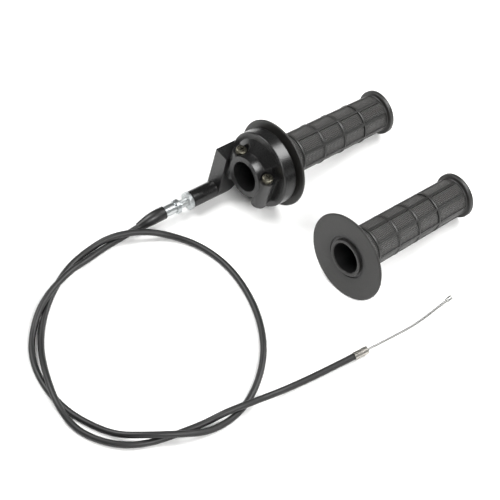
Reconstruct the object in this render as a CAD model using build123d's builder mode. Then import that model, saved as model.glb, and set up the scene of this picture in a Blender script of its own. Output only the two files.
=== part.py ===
"""Quick-turn throttle for a motorcycle handlebar, with its cable, and the matching left-hand grip.

The pieces lie on a flat surface as they do on a bench.  The throttle rests on the two flanges of its
rubber grip and on the foot of the cable arm.  The left-hand grip rests beside it on its own flanges.
The cable makes one and a half turns on the surface and ends in a bare wire with a nipple.

Row frame: +X runs along the throttle in plan, from the clamp to the end of the grip, +Z is up and the
surface is Z = 0.  The origin is under the middle of the rigid pieces.
Bar frame: local X runs across the bar in the split plane of the housing, towards the rider, local Y
is square to the split plane and local Z runs inboard.  The grip's large flange faces inboard at Z = 0.
"""

import os
from math import atan2, cos, degrees, pi, radians, sin, sqrt, tan

from build123d import *

# ---------------------------------------------------------------- fits
RUNNING_GAP = 0.05
LOOSE_GAP = 0.3
CUT_PAST = 1.0

# ---------------------------------------------------------------- rubber grips
BAR_BORE_R = 11.15
TUBE_WALL = 1.35
TUBE_R = BAR_BORE_R + TUBE_WALL
RUBBER_WALL = 2.1
BARREL_TAPER = 1.2
BARREL_R = TUBE_R + RUBBER_WALL
BARREL_END_R = BARREL_R - BARREL_TAPER
GRIP_LENGTH = 104.0
LEFT_GRIP_LENGTH = 110.0
FLANGE_R = 32.3
FLANGE_T = 2.8
END_R = 16.4
END_T = 3.7
END_WALL = 3.0
RIM_ROUND = 0.8
RIB_HEIGHT = 0.7
RIB_WIDTH = 1.2
RIB_SINK = 0.5
RIB_COUNT = 8
KNURL_END = 17.0
RING_PITCH = 20.0
RING_COUNT = 4
LEFT_BORE_R = 11.13
COLLAR_WALL = 2.47
COLLAR_R = LEFT_BORE_R + COLLAR_WALL
COLLAR_RISE = 1.5
RECESS_WIDTH = 2.0
RECESS_R = COLLAR_R + RECESS_WIDTH
RECESS_DEPTH = 0.8

# ---------------------------------------------------------------- screws
SCREW_R = 2.0
HEAD_R = 4.1
HEAD_HEIGHT = 3.0
HEAD_ROUND = 1.1
HEAD_CLEARANCE = 0.7
RECESS_SLOT = 0.9
RECESS_REACH = 2.3
RECESS_SLOT_DEPTH = 1.5
NUT_ACROSS = 7.0
NUT_HEIGHT = 3.2
NUT_SUNK = 1.2
NUT_POCKET = NUT_HEIGHT + NUT_SUNK
SCREW_LENGTH = 23.0
SCREW_CLEARANCE = 0.2

# ---------------------------------------------------------------- housing
SPLIT_ANGLE = -11.5
CLAMP_GAP = 0.05
CLAMP_WALL = 4.0
CLAMP_BORE_R = BAR_BORE_R + CLAMP_GAP
CLAMP_R = CLAMP_BORE_R + CLAMP_WALL
CLAMP_FACE = 26.5
DRUM_R = 28.0
DRUM_BACK = 2.8
DRUM_FRONT = 13.3
DRUM_WALL = 4.0
DRUM_ROUND = 1.0
BACK_WALL = 1.5
FRONT_WALL = 1.7
CAVITY_BACK = DRUM_BACK + BACK_WALL
CAVITY_FRONT = DRUM_FRONT - FRONT_WALL
SHOULDER_STEP = 4.5
SHOULDER_R = DRUM_R - SHOULDER_STEP
SHOULDER_LENGTH = 6.0
SHOULDER_END_ANGLE = 55.0
BOSS_RIM = 1.7
BOSS_R = HEAD_R + BOSS_RIM
BOSS_TOP = 8.4
BOSS_DEPTH = 16.0
BOSS_SETBACK = 0.5
WEB_WIDTH = 7.0
SCREW_WALL = 1.1
SCREW_SPACING = 2 * (CLAMP_BORE_R + SCREW_WALL + SCREW_CLEARANCE + SCREW_R)
SCREW_STATION = CLAMP_FACE - BOSS_SETBACK - BOSS_R

# ---------------------------------------------------------------- throttle tube and pulley
WIRE_R = 0.75
WIRE_DEPTH = 2.5
PULLEY_GAP = 2.5
PULLEY_R = DRUM_R - DRUM_WALL - PULLEY_GAP
PULLEY_MID = 8.0
PULLEY_WIDTH = 5.4
WIRE_RUN_R = PULLEY_R - WIRE_DEPTH
GROOVE_WIDTH = 2.4
GROOVE_R = WIRE_RUN_R - WIRE_R - LOOSE_GAP
NIPPLE_ANGLE = 30.0
NIPPLE_R = 2.0
NIPPLE_SET_IN = 0.4
NIPPLE_SEAT_R = WIRE_RUN_R - NIPPLE_SET_IN
TUBE_INBOARD = CAVITY_FRONT - LOOSE_GAP

# ---------------------------------------------------------------- cable arm
THREAD_R = 3.0
INSERT_WALL = 1.5
INSERT_R = THREAD_R + INSERT_WALL
INSERT_LENGTH = 12.0
SNOUT_WALL = 1.6
ARM_R = INSERT_R + SNOUT_WALL
ARM_FACE = 28.3
ARM_OUTSIDE = 10.4
ARM_INSIDE = 1.0
ARM_LEFT = WIRE_RUN_R + ARM_OUTSIDE
ARM_RIGHT = WIRE_RUN_R - ARM_INSIDE
ARM_FOOT = 22.5
ARM_START = 4.6
ARM_START_DEPTH = 26.0
ARM_ABOVE = 1.0
SNOUT_SPLAY = 0.074
SNOUT_DROOP = 0.1375
SNOUT_LENGTH = 18.8
ELBOW_R = 18.5
ELBOW_BORE_R = 1.2
ELBOW_WALL = 0.8
ELBOW_TUBE_R = ELBOW_BORE_R + ELBOW_WALL

# ---------------------------------------------------------------- cable
CONDUIT_R = 2.3
LINER_SLACK = 0.2
LINER_WALL = 0.55
LINER_BORE_R = WIRE_R + LINER_SLACK
LINER_R = LINER_BORE_R + LINER_WALL
LINER_LENGTH = 36.0
FERRULE_WALL = 0.5
FERRULE_R = CONDUIT_R + FERRULE_WALL
FERRULE_LENGTH = 10.5
FERRULE_SOCKET = 7.5
CRIMP_STATIONS = (2.0, 4.0, 6.0)
CRIMP_WIDTH = 0.9
CRIMP_DEPTH = 0.25
WIRE_EXPOSED = 70.0
WIRE_INSIDE = 6.0
WIRE_BEND_SHARE = 0.55
WIRE_BEND_R = 120.0
WIRE_HEADING = radians(2.85)
NIPPLE_LENGTH = 5.0
END_NIPPLE_R = 1.6
NIPPLE_NECK_R = 1.1
NIPPLE_NECK = 1.5
ON_FLOOR = CONDUIT_R
RAISED = 7.3
ARC_SHARE = 0.45
START_RUNS = 4

# ---------------------------------------------------------------- adjuster, on the snout's own axis
THREAD_SETBACK = 2.2
THREAD_START = SNOUT_LENGTH - INSERT_LENGTH + THREAD_SETBACK
NUT_DISC_R = 6.5
NUT_DISC_T = 3.4
KNURL_NOTCHES = 24
KNURL_R = 0.45
BARE_THREAD = 6.5
HEAD_START = SNOUT_LENGTH + LOOSE_GAP + NUT_DISC_T + BARE_THREAD
ADJUSTER_HEAD_R = 5.25
ADJUSTER_HEAD_LENGTH = 3.7
HEAD_BEVEL = 0.5
HEAD_END = HEAD_START + ADJUSTER_HEAD_LENGTH
SEAT_R = 2.9
SEAT_DEPTH = 2.6
CAP_WALL = 1.65
CAP_R = CONDUIT_R + RUNNING_GAP + CAP_WALL
CAP_LENGTH = 12.0
CAP_FLOOR = 5.3
CAP_SLACK = 0.05
CONDUIT_START = HEAD_END + CAP_FLOOR
BEND_RUN = 12.5
BEND_START = CONDUIT_START + BEND_RUN
BOOT_WALL = 0.65
BOOT_STEP = 9.0
BOOT_START = HEAD_END + BOOT_STEP
BOOT_R = CAP_R + RUNNING_GAP + BOOT_WALL
BOOT_TAPER = ((14.5, 4.5), (19.5, 3.9), (25.0, 3.0))

# ---------------------------------------------------------------- placing
TILT = atan2(FLANGE_R - END_R, GRIP_LENGTH - FLANGE_T)
LEFT_TILT = atan2(FLANGE_R - END_R, LEFT_GRIP_LENGTH - FLANGE_T)
LEFT_YAW = radians(1.56)
LEFT_BACK = 21.3
LEFT_SIDE = 99.5


def resting_height(tilt: float) -> float:
    """Height of the flange's centre when both rounded rims touch the surface."""
    reach = (FLANGE_T - RIM_ROUND) * sin(tilt)
    return reach + (FLANGE_R - RIM_ROUND) * cos(tilt) + RIM_ROUND


# Snout axis where it leaves the arm's face, low enough for the arm's foot to touch the surface
SPLIT = radians(SPLIT_ANGLE)
BAR_Z = resting_height(TILT)
SNOUT_P = -(WIRE_RUN_R + SNOUT_SPLAY * (ARM_FACE - PULLEY_MID))
FOOT_DEPTH = ARM_R - (BAR_Z + ARM_FOOT * sin(TILT)) / cos(TILT)
SNOUT_Q = (FOOT_DEPTH - SNOUT_P * sin(SPLIT)) / cos(SPLIT)
ELBOW_Q = SNOUT_Q + SNOUT_DROOP * (ARM_FACE - PULLEY_MID)

# The origin is under the middle of the rigid pieces' box
BAR_X = -17.34
BAR_Y = 48.02

BAR = Plane(
    origin=(BAR_X, BAR_Y, BAR_Z),
    x_dir=(sin(SPLIT) * sin(TILT), -cos(SPLIT), sin(SPLIT) * cos(TILT)),
    z_dir=(-cos(TILT), 0, sin(TILT)),
)
LEFT = Plane(
    origin=(BAR_X - LEFT_BACK, BAR_Y - LEFT_SIDE, resting_height(LEFT_TILT)),
    x_dir=(sin(LEFT_YAW), -cos(LEFT_YAW), 0),
    z_dir=(-cos(LEFT_TILT) * cos(LEFT_YAW), -cos(LEFT_TILT) * sin(LEFT_YAW), sin(LEFT_TILT)),
)


def bar_point(p: float, q: float, z: float) -> Vector:
    """Row-frame place of a point given in the bar frame."""
    return BAR.from_local_coords(Vector(p, q, z))


SNOUT_START = bar_point(SNOUT_P, SNOUT_Q, ARM_FACE)
SNOUT = Plane(
    origin=SNOUT_START,
    x_dir=BAR.x_dir,
    z_dir=bar_point(SNOUT_P - SNOUT_SPLAY, SNOUT_Q - SNOUT_DROOP, ARM_FACE + 1) - SNOUT_START,
)


def section_at(frame: Plane, angle: float) -> Plane:
    """Plane through a frame's axis: X runs along the axis, Y away from it at an angle from local X."""
    turn = radians(angle)
    return Plane(
        origin=frame.origin,
        x_dir=frame.z_dir,
        z_dir=frame.y_dir * cos(turn) - frame.x_dir * sin(turn),
    )


def axis_of(frame: Plane) -> Axis:
    """The line that a frame's Z direction lies on."""
    return Axis(frame.origin, frame.z_dir)


BAR_SECTION = section_at(BAR, 90)
BAR_AXIS = axis_of(BAR)
LEFT_SECTION = section_at(LEFT, 90)
LEFT_AXIS = axis_of(LEFT)
SNOUT_SECTION = section_at(SNOUT, 90)
SNOUT_AXIS = axis_of(SNOUT)
# Local X of the split plane runs inboard and local Y towards the rider
SPLIT_PLANE = Plane(origin=BAR.origin, x_dir=BAR.z_dir, z_dir=BAR.y_dir)

os.makedirs("parts", exist_ok=True)


# ================================================================ rubber grips
def barrel_radius(distance: float, length: float) -> float:
    """Radius of the sunk panels at a distance outboard of the flange."""
    return BARREL_R + (BARREL_END_R - BARREL_R) * distance / length


def grip_outline(length: float) -> list[tuple[float, float]]:
    """Outline of a barrel's outside in its section plane, from the flange's back to the end."""
    end = length - END_T
    return [
        (-FLANGE_T, barrel_radius(FLANGE_T, length)),
        (-end, barrel_radius(end, length)),
        (-end, END_R),
        (-length, END_R),
    ]


def rib_outline(start: float, end: float, length: float, root: float) -> list[tuple[float, float]]:
    """Outline of a raised rib or ring that runs from one distance to another."""
    return [
        (-start, root),
        (-start, barrel_radius(start, length) + RIB_HEIGHT),
        (-end, barrel_radius(end, length) + RIB_HEIGHT),
        (-end, root),
    ]


RIB_ROOT = BARREL_END_R - RIB_SINK
RING_STATIONS = [KNURL_END + k * RING_PITCH for k in range(RING_COUNT)]

with BuildPart() as throttle_grip:
    with BuildSketch(BAR_SECTION) as outside:
        with BuildLine():
            Polyline(
                (-FLANGE_T, TUBE_R),
                *grip_outline(GRIP_LENGTH),
                (-GRIP_LENGTH, 0),
                (END_WALL - GRIP_LENGTH, 0),
                (END_WALL - GRIP_LENGTH, TUBE_R),
                close=True,
            )
        make_face()
        fillet(outside.vertices().group_by(Axis.Y)[-1], RIM_ROUND)
    revolve(axis=BAR_AXIS)
    for station in RING_STATIONS:
        with BuildSketch(BAR_SECTION):
            with BuildLine():
                Polyline(*rib_outline(station, station + RIB_WIDTH, GRIP_LENGTH, RIB_ROOT), close=True)
            make_face()
        revolve(axis=BAR_AXIS)
    for k in range(RIB_COUNT):
        with BuildSketch(section_at(BAR, 360 * k / RIB_COUNT)):
            with BuildLine():
                Polyline(*rib_outline(KNURL_END, GRIP_LENGTH - END_T, GRIP_LENGTH, RIB_ROOT), close=True)
            make_face()
        extrude(amount=RIB_WIDTH / 2, both=True)
throttle_grip.part.label = "throttle_grip"
export_step(throttle_grip.part, "parts/throttle_grip.step")

with BuildPart() as throttle_flange:
    with BuildSketch(BAR_SECTION) as flange_outline:
        with BuildLine():
            Polyline((0, TUBE_R), (0, FLANGE_R), (-FLANGE_T, FLANGE_R), (-FLANGE_T, TUBE_R), close=True)
        make_face()
        fillet(flange_outline.vertices().group_by(Axis.Y)[-1], RIM_ROUND)
    revolve(axis=BAR_AXIS)
throttle_flange.part.label = "throttle_flange"
export_step(throttle_flange.part, "parts/throttle_flange.step")

with BuildPart() as left_grip:
    with BuildSketch(LEFT_SECTION) as outside:
        with BuildLine():
            Polyline(
                (-FLANGE_T, LEFT_BORE_R),
                *grip_outline(LEFT_GRIP_LENGTH),
                (-LEFT_GRIP_LENGTH, 0),
                (END_WALL - LEFT_GRIP_LENGTH, 0),
                (END_WALL - LEFT_GRIP_LENGTH, LEFT_BORE_R),
                close=True,
            )
        make_face()
        fillet(outside.vertices().group_by(Axis.Y)[-1], RIM_ROUND)
    revolve(axis=LEFT_AXIS)
    for station in RING_STATIONS:
        with BuildSketch(LEFT_SECTION):
            with BuildLine():
                Polyline(*rib_outline(station, station + RIB_WIDTH, LEFT_GRIP_LENGTH, RIB_ROOT), close=True)
            make_face()
        revolve(axis=LEFT_AXIS)
    for k in range(RIB_COUNT):
        with BuildSketch(section_at(LEFT, 360 * k / RIB_COUNT)):
            with BuildLine():
                Polyline(
                    *rib_outline(KNURL_END, LEFT_GRIP_LENGTH - END_T, LEFT_GRIP_LENGTH, RIB_ROOT), close=True
                )
            make_face()
        extrude(amount=RIB_WIDTH / 2, both=True)
left_grip.part.label = "left_grip"
export_step(left_grip.part, "parts/left_grip.step")

with BuildPart() as left_flange:
    with BuildSketch(LEFT_SECTION) as flange_outline:
        with BuildLine():
            Polyline(
                (COLLAR_RISE, LEFT_BORE_R),
                (COLLAR_RISE, COLLAR_R),
                (-RECESS_DEPTH, COLLAR_R),
                (-RECESS_DEPTH, RECESS_R),
                (0, RECESS_R),
                (0, FLANGE_R),
                (-FLANGE_T, FLANGE_R),
                (-FLANGE_T, LEFT_BORE_R),
                close=True,
            )
        make_face()
        fillet(flange_outline.vertices().group_by(Axis.Y)[-1], RIM_ROUND)
    revolve(axis=LEFT_AXIS)
left_flange.part.label = "left_flange"
export_step(left_flange.part, "parts/left_flange.step")

# ================================================================ throttle tube with its pulley
NIPPLE_PLACE = (
    NIPPLE_SEAT_R * cos(radians(180 - NIPPLE_ANGLE)),
    NIPPLE_SEAT_R * sin(radians(180 - NIPPLE_ANGLE)),
)

with BuildPart() as throttle_tube:
    with BuildSketch(BAR_SECTION):
        with BuildLine():
            Polyline(
                (END_WALL - GRIP_LENGTH, BAR_BORE_R),
                (END_WALL - GRIP_LENGTH, TUBE_R),
                (TUBE_INBOARD, TUBE_R),
                (TUBE_INBOARD, BAR_BORE_R),
                close=True,
            )
        make_face()
    revolve(axis=BAR_AXIS)
throttle_tube.part.label = "throttle_tube"
export_step(throttle_tube.part, "parts/throttle_tube.step")

with BuildPart() as cable_pulley:
    with BuildSketch(BAR_SECTION):
        with BuildLine():
            Polyline(
                (PULLEY_MID - PULLEY_WIDTH / 2, TUBE_R),
                (PULLEY_MID - PULLEY_WIDTH / 2, PULLEY_R),
                (PULLEY_MID - GROOVE_WIDTH / 2, PULLEY_R),
                (PULLEY_MID - GROOVE_WIDTH / 2, GROOVE_R),
                (PULLEY_MID + GROOVE_WIDTH / 2, GROOVE_R),
                (PULLEY_MID + GROOVE_WIDTH / 2, PULLEY_R),
                (PULLEY_MID + PULLEY_WIDTH / 2, PULLEY_R),
                (PULLEY_MID + PULLEY_WIDTH / 2, TUBE_R),
                close=True,
            )
        make_face()
    revolve(axis=BAR_AXIS)
    with BuildSketch(BAR.offset(PULLEY_MID)):
        with Locations(NIPPLE_PLACE):
            Circle(NIPPLE_R + RUNNING_GAP)
    extrude(amount=PULLEY_WIDTH, both=True, mode=Mode.SUBTRACT)
cable_pulley.part.label = "cable_pulley"
export_step(cable_pulley.part, "parts/cable_pulley.step")

with BuildPart() as drum_nipple:
    with BuildSketch(BAR.offset(PULLEY_MID)):
        with Locations(NIPPLE_PLACE):
            Circle(NIPPLE_R)
    extrude(amount=PULLEY_WIDTH / 2, both=True)
drum_nipple.part.label = "drum_nipple"
export_step(drum_nipple.part, "parts/drum_nipple.step")

NIPPLE_HALF_ANGLE = degrees(NIPPLE_R / NIPPLE_SEAT_R)
with BuildPart() as wire_head:
    with BuildSketch(section_at(BAR, 180 - NIPPLE_ANGLE + NIPPLE_HALF_ANGLE)):
        with Locations((PULLEY_MID, WIRE_RUN_R)):
            Circle(WIRE_R)
    revolve(axis=BAR_AXIS, revolution_arc=NIPPLE_ANGLE - NIPPLE_HALF_ANGLE)
wire_head.part.label = "wire_head"
export_step(wire_head.part, "parts/wire_head.step")

# ================================================================ housing: one body, split in two
SCREW_PLACES = [(SCREW_STATION, -SCREW_SPACING / 2), (SCREW_STATION, SCREW_SPACING / 2)]
# A web joins each screw boss to the drum's front wall
WEB_START = DRUM_FRONT - FRONT_WALL / 2
WEB_PLACES = [((WEB_START + SCREW_STATION) / 2, side) for _, side in SCREW_PLACES]

with BuildPart() as housing_body:
    with BuildSketch(BAR_SECTION) as drum_outline:
        with BuildLine():
            Polyline(
                (DRUM_BACK, 0), (DRUM_BACK, DRUM_R), (DRUM_FRONT, DRUM_R), (DRUM_FRONT, 0), close=True
            )
        make_face()
        fillet(drum_outline.vertices().group_by(Axis.Y)[-1], DRUM_ROUND)
    revolve(axis=BAR_AXIS)
    with BuildSketch(BAR.offset(CAVITY_FRONT)):
        Circle(CLAMP_R)
    extrude(amount=CLAMP_FACE - CAVITY_FRONT)
    with BuildSketch(section_at(BAR, SHOULDER_END_ANGLE)):
        with BuildLine():
            Polyline(
                (CAVITY_FRONT, 0),
                (CAVITY_FRONT, SHOULDER_R),
                (DRUM_FRONT, SHOULDER_R),
                (DRUM_FRONT + SHOULDER_LENGTH, CLAMP_R),
                (DRUM_FRONT + SHOULDER_LENGTH, 0),
                close=True,
            )
        make_face()
    revolve(axis=BAR_AXIS, revolution_arc=180 - SHOULDER_END_ANGLE)
    with BuildSketch(SPLIT_PLANE.offset(-BOSS_DEPTH)):
        with Locations(*SCREW_PLACES):
            Circle(BOSS_R)
        with Locations(*WEB_PLACES):
            Rectangle(SCREW_STATION - WEB_START, WEB_WIDTH)
    extrude(amount=BOSS_DEPTH + BOSS_TOP)

# Everything that is cut out of both halves
INSERT_START = SNOUT_LENGTH - INSERT_LENGTH
GUIDE_START = -sqrt((DRUM_R - DRUM_WALL - LOOSE_GAP) ** 2 - WIRE_RUN_R**2)
WIRE_LINE = [
    bar_point(-WIRE_RUN_R, -LOOSE_GAP, PULLEY_MID),
    bar_point(-WIRE_RUN_R, ELBOW_Q, PULLEY_MID),
    SNOUT.offset(CONDUIT_START).origin,
]
GUIDE_LINE = [
    bar_point(-WIRE_RUN_R, GUIDE_START, PULLEY_MID),
    bar_point(-WIRE_RUN_R, ELBOW_Q, PULLEY_MID),
    SNOUT.offset(INSERT_START).origin,
]

with BuildPart() as hollows:
    with BuildSketch(BAR.offset(CAVITY_BACK)):
        Circle(DRUM_R - DRUM_WALL)
    extrude(amount=CAVITY_FRONT - CAVITY_BACK)
    with BuildSketch(BAR.offset(DRUM_BACK - CUT_PAST)):
        Circle(TUBE_R + LOOSE_GAP)
    extrude(amount=CAVITY_BACK - DRUM_BACK + 2 * CUT_PAST)
    with BuildSketch(BAR.offset(CAVITY_FRONT - CUT_PAST)):
        Circle(TUBE_R + LOOSE_GAP)
    extrude(amount=DRUM_FRONT - CAVITY_FRONT + CUT_PAST)
    with BuildSketch(BAR.offset(DRUM_FRONT - CUT_PAST)):
        Circle(CLAMP_BORE_R)
    extrude(amount=CLAMP_FACE - DRUM_FRONT + 2 * CUT_PAST)
    with BuildSketch(SPLIT_PLANE.offset(-BOSS_DEPTH - CUT_PAST)):
        with Locations(*SCREW_PLACES):
            Circle(SCREW_R + SCREW_CLEARANCE)
    extrude(amount=BOSS_DEPTH + BOSS_TOP + 2 * CUT_PAST)
    with BuildSketch(SPLIT_PLANE.offset(BOSS_TOP)):
        with Locations(*SCREW_PLACES):
            Circle(HEAD_R + HEAD_CLEARANCE)
    extrude(amount=SHOULDER_R)
    with BuildSketch(SPLIT_PLANE.offset(-BOSS_DEPTH - CUT_PAST)):
        with Locations(*SCREW_PLACES):
            RegularPolygon(NUT_ACROSS / 2 + RUNNING_GAP, 6, major_radius=False)
    extrude(amount=NUT_POCKET + CUT_PAST)
    with BuildSketch(SNOUT.offset(INSERT_START)):
        Circle(INSERT_R)
    extrude(amount=INSERT_LENGTH + CUT_PAST)
    with BuildLine() as guide_line:
        FilletPolyline(*GUIDE_LINE, radius=ELBOW_R)
    with BuildSketch(Plane(origin=guide_line.line @ 0, z_dir=guide_line.line % 0)):
        Circle(ELBOW_TUBE_R)
    sweep(path=guide_line.line)
    with BuildSketch(Plane(origin=guide_line.line @ 0, z_dir=guide_line.line % 0)):
        Circle(ELBOW_TUBE_R)
    extrude(amount=-ELBOW_TUBE_R)

with BuildPart() as housing_cover:
    add(housing_body.part)
    split(bisect_by=SPLIT_PLANE, keep=Keep.TOP)
    add(hollows.part, mode=Mode.SUBTRACT)
housing_cover.part.label = "housing_cover"
export_step(housing_cover.part, "parts/housing_cover.step")

with BuildPart() as arm_shape:
    with BuildSketch(BAR.offset(ARM_START)):
        with BuildLine() as arm_edges:
            Polyline((-ARM_LEFT, 0), (-ARM_RIGHT, 0))
            CenterArc((SNOUT_P, SNOUT_Q), ARM_R, 0, 360)
        make_hull()
    extrude(amount=ARM_FACE - ARM_START)
    with BuildSketch(BAR_SECTION):
        with BuildLine():
            Polyline(
                (ARM_START, ARM_ABOVE),
                (ARM_FACE, ARM_ABOVE),
                (ARM_FACE, SNOUT_Q - 2 * ARM_R),
                (ARM_FOOT, SNOUT_Q - 2 * ARM_R),
                (ARM_FOOT, SNOUT_Q - ARM_R * cos(SPLIT)),
                (ARM_START, -ARM_START_DEPTH),
                close=True,
            )
        make_face()
    extrude(amount=2 * FLANGE_R, both=True, mode=Mode.INTERSECT)
    with BuildSketch(SNOUT.offset(-ARM_R / 2)):
        Circle(ARM_R)
    extrude(amount=SNOUT_LENGTH + ARM_R / 2)

# The arm is one casting with the lower half, and meets it at the drum's front face
with BuildPart() as arm_root:
    add(arm_shape.part)
    split(bisect_by=BAR.offset(DRUM_FRONT), keep=Keep.BOTTOM)

with BuildPart() as cable_arm:
    add(arm_shape.part)
    split(bisect_by=BAR.offset(DRUM_FRONT), keep=Keep.TOP)
    add(housing_body.part, mode=Mode.SUBTRACT)
    add(hollows.part, mode=Mode.SUBTRACT)
cable_arm.part.label = "cable_arm"
export_step(cable_arm.part, "parts/cable_arm.step")

with BuildPart() as housing_lower:
    add(housing_body.part)
    split(bisect_by=SPLIT_PLANE, keep=Keep.BOTTOM)
    add(arm_root.part)
    add(hollows.part, mode=Mode.SUBTRACT)
housing_lower.part.label = "housing_lower"
export_step(housing_lower.part, "parts/housing_lower.step")

with BuildPart() as elbow_guide:
    with BuildSketch(Plane(origin=guide_line.line @ 0, z_dir=guide_line.line % 0)):
        Circle(ELBOW_TUBE_R)
        Circle(ELBOW_BORE_R, mode=Mode.SUBTRACT)
    sweep(path=guide_line.line)
elbow_guide.part.label = "elbow_guide"
export_step(elbow_guide.part, "parts/elbow_guide.step")

with BuildPart() as inner_wire:
    with BuildLine() as wire_line:
        FilletPolyline(*WIRE_LINE, radius=ELBOW_R)
    with BuildSketch(Plane(origin=wire_line.line @ 0, z_dir=wire_line.line % 0)):
        Circle(WIRE_R)
    sweep(path=wire_line.line)
inner_wire.part.label = "inner_wire"
export_step(inner_wire.part, "parts/inner_wire.step")

# ================================================================ clamp fasteners
with BuildPart() as clamp_screws:
    with BuildSketch(SPLIT_PLANE.offset(BOSS_TOP)):
        with Locations(*SCREW_PLACES):
            Circle(HEAD_R)
    extrude(amount=HEAD_HEIGHT)
    head_rims = clamp_screws.faces().filter_by(GeomType.PLANE).group_by(Axis(BAR.origin, BAR.y_dir))[-1]
    fillet(head_rims.edges(), HEAD_ROUND)
    with BuildSketch(SPLIT_PLANE.offset(BOSS_TOP)):
        with Locations(*SCREW_PLACES):
            Circle(SCREW_R)
    extrude(amount=-SCREW_LENGTH)
    with BuildSketch(SPLIT_PLANE.offset(BOSS_TOP + HEAD_HEIGHT)):
        with Locations(*SCREW_PLACES):
            Rectangle(2 * RECESS_REACH, RECESS_SLOT)
            Rectangle(RECESS_SLOT, 2 * RECESS_REACH)
    extrude(amount=-RECESS_SLOT_DEPTH, mode=Mode.SUBTRACT)
clamp_screws.part.label = "clamp_screws"
export_step(clamp_screws.part, "parts/clamp_screws.step")

with BuildPart() as clamp_nuts:
    with BuildSketch(SPLIT_PLANE.offset(NUT_POCKET - BOSS_DEPTH)):
        with Locations(*SCREW_PLACES):
            RegularPolygon(NUT_ACROSS / 2, 6, major_radius=False)
            Circle(SCREW_R + RUNNING_GAP, mode=Mode.SUBTRACT)
    extrude(amount=-NUT_HEIGHT)
clamp_nuts.part.label = "clamp_nuts"
export_step(clamp_nuts.part, "parts/clamp_nuts.step")

# ================================================================ cable adjuster on the snout
with BuildPart() as snout_insert:
    with BuildSketch(SNOUT.offset(INSERT_START)):
        Circle(INSERT_R)
        Circle(THREAD_R + RUNNING_GAP, mode=Mode.SUBTRACT)
    extrude(amount=INSERT_LENGTH)
snout_insert.part.label = "snout_insert"
export_step(snout_insert.part, "parts/snout_insert.step")

with BuildPart() as lock_nut:
    with BuildSketch(SNOUT.offset(SNOUT_LENGTH + LOOSE_GAP)):
        Circle(NUT_DISC_R)
        Circle(THREAD_R + RUNNING_GAP, mode=Mode.SUBTRACT)
        with PolarLocations(NUT_DISC_R, KNURL_NOTCHES):
            Circle(KNURL_R, mode=Mode.SUBTRACT)
    extrude(amount=NUT_DISC_T)
lock_nut.part.label = "lock_nut"
export_step(lock_nut.part, "parts/lock_nut.step")

with BuildPart() as cable_adjuster:
    with BuildSketch(SNOUT.offset(THREAD_START)):
        Circle(THREAD_R)
    extrude(amount=HEAD_START - THREAD_START)
    with BuildSketch(SNOUT.offset(HEAD_START)):
        Circle(ADJUSTER_HEAD_R)
    extrude(amount=ADJUSTER_HEAD_LENGTH)
    head_rims = cable_adjuster.edges().filter_by(GeomType.CIRCLE).group_by(SortBy.RADIUS)[-1]
    chamfer(head_rims, HEAD_BEVEL)
    with BuildSketch(SNOUT.offset(THREAD_START)):
        Circle(ELBOW_BORE_R)
    extrude(amount=HEAD_END - THREAD_START, mode=Mode.SUBTRACT)
    with BuildSketch(SNOUT.offset(HEAD_END)):
        Circle(SEAT_R)
    extrude(amount=-SEAT_DEPTH, mode=Mode.SUBTRACT)
cable_adjuster.part.label = "cable_adjuster"
export_step(cable_adjuster.part, "parts/cable_adjuster.step")

with BuildPart() as conduit_cap:
    with BuildSketch(SNOUT_SECTION):
        with BuildLine():
            Polyline(
                (HEAD_END - SEAT_DEPTH + RUNNING_GAP, ELBOW_BORE_R),
                (HEAD_END - SEAT_DEPTH + RUNNING_GAP, SEAT_R - RUNNING_GAP),
                (HEAD_END, SEAT_R - RUNNING_GAP),
                (HEAD_END, CAP_R),
                (HEAD_END + CAP_LENGTH, CAP_R),
                (HEAD_END + CAP_LENGTH, CONDUIT_R + RUNNING_GAP),
                (CONDUIT_START - CAP_SLACK, CONDUIT_R + RUNNING_GAP),
                (CONDUIT_START - CAP_SLACK, ELBOW_BORE_R),
                close=True,
            )
        make_face()
    revolve(axis=SNOUT_AXIS)
conduit_cap.part.label = "conduit_cap"
export_step(conduit_cap.part, "parts/conduit_cap.step")

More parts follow.
